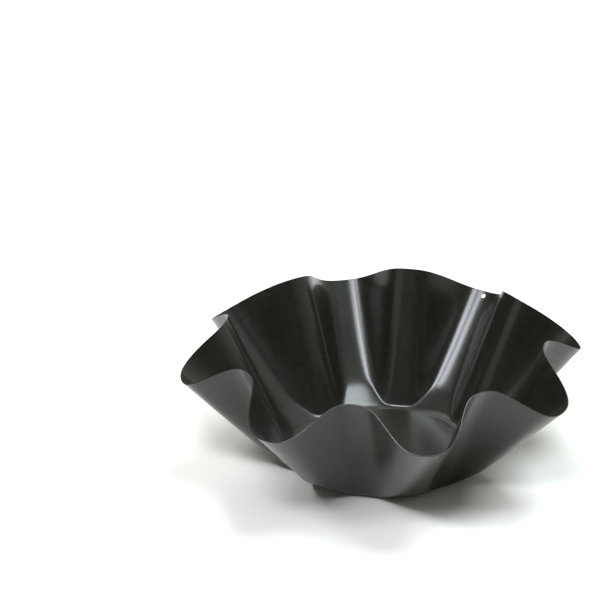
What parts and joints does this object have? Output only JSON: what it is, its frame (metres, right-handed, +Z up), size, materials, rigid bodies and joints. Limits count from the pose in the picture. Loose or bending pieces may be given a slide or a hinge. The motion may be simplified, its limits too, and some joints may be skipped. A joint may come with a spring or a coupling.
{
  "type": "fluted baking pan",
  "caption": "Round baking pan of thin dark coated sheet steel with a flat base and deep flared flutes, for baking shaped pastry or tortilla shells.",
  "frame": {"origin": "centre of the flat base, on the face the pan stands on", "axes": "+Z up along the pan's axis, +Y towards the flute with the hanging hole"},
  "size_m": [0.2158, 0.2158, 0.0711],
  "materials": {
    "coated_steel": "dark satin non-stick coating"
  },
  "bodies": {
    "root": {"pan": "coated_steel"}
  },
  "joints": []
}
